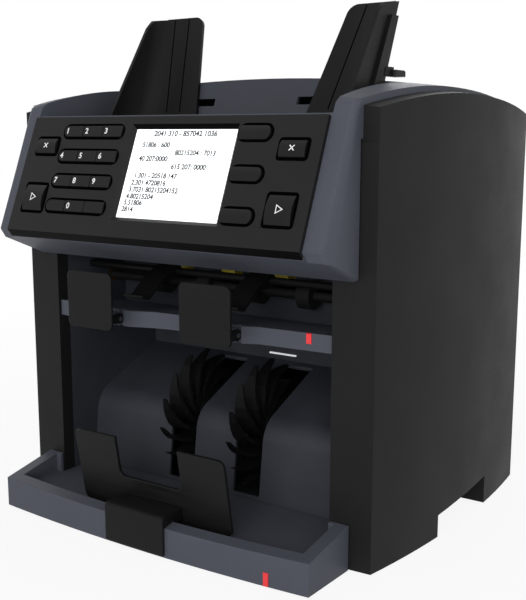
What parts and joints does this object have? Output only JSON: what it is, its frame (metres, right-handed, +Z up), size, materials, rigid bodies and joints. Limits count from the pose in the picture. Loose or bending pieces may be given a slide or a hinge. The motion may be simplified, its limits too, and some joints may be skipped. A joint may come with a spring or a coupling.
{
  "type": "banknote sorter",
  "caption": "Counter-top note sorter with a leaning feed hopper, tilted panel with screen and keys, upper pocket with folding stops and lower pocket with bladed stacker wheels.",
  "frame": {"origin": "on the table, under the middle of the machine's bounding box", "axes": "+Z up, -Y towards the operator, +X to the operator's right"},
  "size_m": [0.298, 0.2666, 0.3375],
  "materials": {
    "charcoal": "satin",
    "gray": "satin",
    "liner": "matte",
    "panel": "satin",
    "screen": "gloss",
    "black": "satin",
    "soft_black": "matte",
    "key": "satin",
    "board": "satin",
    "steel": "satin",
    "rubber": "matte",
    "bronze": "satin",
    "red": "gloss",
    "white": "matte"
  },
  "bodies": {
    "machine": {"left_side_cover": "charcoal", "right_side_cover": "charcoal", "rear_cover": "charcoal", "head_shell": "gray", "rear_top_cover": "gray", "stacker_tray": "gray", "reject_shelf": "gray", "left_frame": "liner", "right_frame": "liner", "stacker_chute": "liner", "hopper_bed": "liner", "reject_back": "liner", "fascia": "panel", "display": "screen", "stack_stop": "black", "stop_bracket": "black", "power_inlet": "black", "key_board": "board", "main_board": "board", "base_pan": "steel", "stop_pins": "steel", "drive_motor": "steel", "power_supply": "steel", "feet": "rubber", "drive_belt": "rubber", "bearings": "bronze", "status_lamps": "red"},
    "left_guide": {"left_guide": "black"},
    "right_guide": {"right_guide": "black"},
    "guide_pinion": {"guide_pinion": "white"},
    "left_stop": {"left_stop": "black"},
    "right_stop": {"right_stop": "black"},
    "hold_down_bail": {"hold_down_bail": "black"},
    "stacker": {"stacker_shaft": "steel", "left_stacker_wheel": "soft_black", "right_stacker_wheel": "soft_black"},
    "feed_roller": {"feed_roller": "rubber"},
    "exit_roller": {"exit_roller": "rubber"},
    "sorting_gate": {"sorting_gate": "black"},
    "motor_pulley": {"motor_pulley": "steel"},
    "power_rocker": {"power_rocker": "black"},
    "key_0": {"key_0": "key"},
    "key_1": {"key_1": "key"},
    "key_2": {"key_2": "key"},
    "key_3": {"key_3": "key"},
    "key_4": {"key_4": "key"},
    "key_5": {"key_5": "key"},
    "key_6": {"key_6": "key"},
    "key_7": {"key_7": "key"},
    "key_8": {"key_8": "key"},
    "key_9": {"key_9": "key"},
    "key_shift": {"key_shift": "key"},
    "key_menu": {"key_menu": "key"},
    "side_key_top": {"side_key_top": "key"},
    "side_key_middle": {"side_key_middle": "key"},
    "side_key_bottom": {"side_key_bottom": "key"},
    "left_clear_key": {"left_clear_key": "key"},
    "right_clear_key": {"right_clear_key": "key"},
    "left_run_key": {"left_run_key": "key"},
    "right_run_key": {"right_run_key": "key"}
  },
  "joints": [
    {"name": "left_guide_slide", "type": "slide", "parent": "machine", "child": "left_guide", "axis": [1, 0, 0], "range_m": [0, 0.032]},
    {"name": "right_guide_slide", "type": "slide", "parent": "machine", "child": "right_guide", "axis": [-1, 0, 0], "range_m": [0, 0.032]},
    {"name": "guide_pinion_spin", "type": "hinge", "parent": "machine", "child": "guide_pinion", "pos_m": [0, 0.0103, 0.262], "axis": [0, 1, 0], "range_deg": [0, 262]},
    {"name": "left_stop_fold", "type": "hinge", "parent": "machine", "child": "left_stop", "pos_m": [-0.0455, -0.0892, 0.135], "axis": [1, 0, 0], "range_deg": [0, 60], "stiffness_Nm_per_rad": 0.02, "springref_deg": -17.19},
    {"name": "right_stop_fold", "type": "hinge", "parent": "machine", "child": "right_stop", "pos_m": [0.0455, -0.0892, 0.135], "axis": [1, 0, 0], "range_deg": [0, 60], "stiffness_Nm_per_rad": 0.02, "springref_deg": -17.19},
    {"name": "hold_down_lift", "type": "hinge", "parent": "machine", "child": "hold_down_bail", "pos_m": [0, -0.0487, 0.163], "axis": [-1, 0, 0], "range_deg": [0, 25]},
    {"name": "stacker_spin", "type": "hinge", "parent": "machine", "child": "stacker", "pos_m": [0, -0.0277, 0.061], "axis": [1, 0, 0], "continuous": true},
    {"name": "feed_spin", "type": "hinge", "parent": "machine", "child": "feed_roller", "pos_m": [0, -0.01524, 0.222], "axis": [1, 0, 0], "continuous": true},
    {"name": "exit_spin", "type": "hinge", "parent": "machine", "child": "exit_roller", "pos_m": [0, -0.0267, 0.152], "axis": [1, 0, 0], "continuous": true},
    {"name": "motor_spin", "type": "hinge", "parent": "machine", "child": "motor_pulley", "pos_m": [0.11, 0.06936, 0.06], "axis": [1, 0, 0], "continuous": true},
    {"name": "gate_swing", "type": "hinge", "parent": "machine", "child": "sorting_gate", "pos_m": [0, 0.0073, 0.152], "axis": [1, 0, 0], "range_deg": [0, 20], "stiffness_Nm_per_rad": 0.02, "springref_deg": -17.19},
    {"name": "power_rock", "type": "hinge", "parent": "machine", "child": "power_rocker", "pos_m": [-0.078, 0.12701, 0.076], "axis": [1, 0, 0], "range_deg": [0, 16]},
    {"name": "key_0_press", "type": "slide", "parent": "machine", "child": "key_0", "axis": [0, 0.9245, -0.3811], "range_m": [0, 0.001], "stiffness_N_per_m": 300, "springref_m": -0.001},
    {"name": "key_1_press", "type": "slide", "parent": "machine", "child": "key_1", "axis": [0, 0.9245, -0.3811], "range_m": [0, 0.001], "stiffness_N_per_m": 300, "springref_m": -0.001},
    {"name": "key_2_press", "type": "slide", "parent": "machine", "child": "key_2", "axis": [0, 0.9245, -0.3811], "range_m": [0, 0.001], "stiffness_N_per_m": 300, "springref_m": -0.001},
    {"name": "key_3_press", "type": "slide", "parent": "machine", "child": "key_3", "axis": [0, 0.9245, -0.3811], "range_m": [0, 0.001], "stiffness_N_per_m": 300, "springref_m": -0.001},
    {"name": "key_4_press", "type": "slide", "parent": "machine", "child": "key_4", "axis": [0, 0.9245, -0.3811], "range_m": [0, 0.001], "stiffness_N_per_m": 300, "springref_m": -0.001},
    {"name": "key_5_press", "type": "slide", "parent": "machine", "child": "key_5", "axis": [0, 0.9245, -0.3811], "range_m": [0, 0.001], "stiffness_N_per_m": 300, "springref_m": -0.001},
    {"name": "key_6_press", "type": "slide", "parent": "machine", "child": "key_6", "axis": [0, 0.9245, -0.3811], "range_m": [0, 0.001], "stiffness_N_per_m": 300, "springref_m": -0.001},
    {"name": "key_7_press", "type": "slide", "parent": "machine", "child": "key_7", "axis": [0, 0.9245, -0.3811], "range_m": [0, 0.001], "stiffness_N_per_m": 300, "springref_m": -0.001},
    {"name": "key_8_press", "type": "slide", "parent": "machine", "child": "key_8", "axis": [0, 0.9245, -0.3811], "range_m": [0, 0.001], "stiffness_N_per_m": 300, "springref_m": -0.001},
    {"name": "key_9_press", "type": "slide", "parent": "machine", "child": "key_9", "axis": [0, 0.9245, -0.3811], "range_m": [0, 0.001], "stiffness_N_per_m": 300, "springref_m": -0.001},
    {"name": "key_shift_press", "type": "slide", "parent": "machine", "child": "key_shift", "axis": [0, 0.9245, -0.3811], "range_m": [0, 0.001], "stiffness_N_per_m": 300, "springref_m": -0.001},
    {"name": "key_menu_press", "type": "slide", "parent": "machine", "child": "key_menu", "axis": [0, 0.9245, -0.3811], "range_m": [0, 0.001], "stiffness_N_per_m": 300, "springref_m": -0.001},
    {"name": "side_key_top_press", "type": "slide", "parent": "machine", "child": "side_key_top", "axis": [0, 0.9245, -0.3811], "range_m": [0, 0.001], "stiffness_N_per_m": 300, "springref_m": -0.001},
    {"name": "side_key_middle_press", "type": "slide", "parent": "machine", "child": "side_key_middle", "axis": [0, 0.9245, -0.3811], "range_m": [0, 0.001], "stiffness_N_per_m": 300, "springref_m": -0.001},
    {"name": "side_key_bottom_press", "type": "slide", "parent": "machine", "child": "side_key_bottom", "axis": [0, 0.9245, -0.3811], "range_m": [0, 0.001], "stiffness_N_per_m": 300, "springref_m": -0.001},
    {"name": "left_clear_key_press", "type": "slide", "parent": "machine", "child": "left_clear_key", "axis": [0, 0.9245, -0.3811], "range_m": [0, 0.001], "stiffness_N_per_m": 300, "springref_m": -0.001},
    {"name": "right_clear_key_press", "type": "slide", "parent": "machine", "child": "right_clear_key", "axis": [0, 0.9245, -0.3811], "range_m": [0, 0.001], "stiffness_N_per_m": 300, "springref_m": -0.001},
    {"name": "left_run_key_press", "type": "slide", "parent": "machine", "child": "left_run_key", "axis": [0, 0.9245, -0.3811], "range_m": [0, 0.001], "stiffness_N_per_m": 300, "springref_m": -0.001},
    {"name": "right_run_key_press", "type": "slide", "parent": "machine", "child": "right_run_key", "axis": [0, 0.9245, -0.3811], "range_m": [0, 0.001], "stiffness_N_per_m": 300, "springref_m": -0.001}
  ],
  "couplings": [
    {"joint": "right_guide_slide", "follows": "left_guide_slide", "ratio": 1},
    {"joint": "guide_pinion_spin", "follows": "left_guide_slide", "rad_per_m": 142.86},
    {"joint": "feed_spin", "follows": "stacker_spin", "ratio": 1},
    {"joint": "exit_spin", "follows": "stacker_spin", "ratio": 1},
    {"joint": "motor_spin", "follows": "stacker_spin", "ratio": 1}
  ]
}
